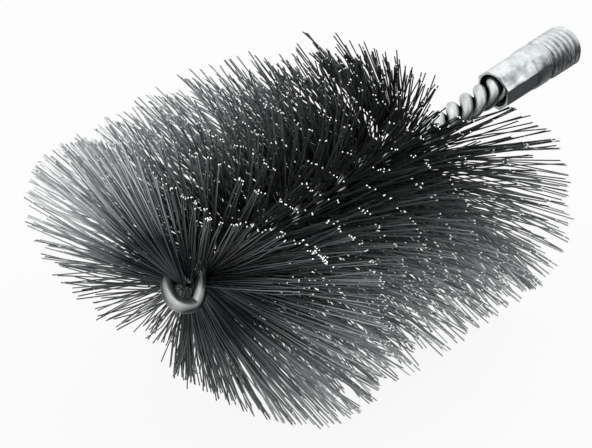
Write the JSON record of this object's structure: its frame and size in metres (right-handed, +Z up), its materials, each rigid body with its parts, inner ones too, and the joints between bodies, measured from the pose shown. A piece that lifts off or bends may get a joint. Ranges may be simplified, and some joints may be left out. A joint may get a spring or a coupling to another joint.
{
  "type": "boiler brush",
  "caption": "Round steel wire brush for boiler flues: straight bristles held in a twisted wire stem with a nose loop, and a crimped ferrule with a male thread for a rod.",
  "frame": {"origin": "on the surface that the brush lies on, under the centre of its box", "axes": "+X along the stem from the nose loop to the thread, +Z up"},
  "size_m": [0.1608, 0.1, 0.0995],
  "materials": {
    "stem_steel": "bright drawn wire, satin",
    "bristle_steel": "dark oiled spring steel wire with bright cut tips",
    "zinc_plate": "turned steel, bright zinc plated"
  },
  "bodies": {
    "root": {"stem_wire": "stem_steel", "threaded_ferrule": "zinc_plate", "bristle_row_01": "bristle_steel", "bristle_row_02": "bristle_steel", "bristle_row_03": "bristle_steel", "bristle_row_04": "bristle_steel", "bristle_row_05": "bristle_steel", "bristle_row_06": "bristle_steel", "bristle_row_07": "bristle_steel", "bristle_row_08": "bristle_steel", "bristle_row_09": "bristle_steel", "bristle_row_10": "bristle_steel"}
  },
  "joints": []
}
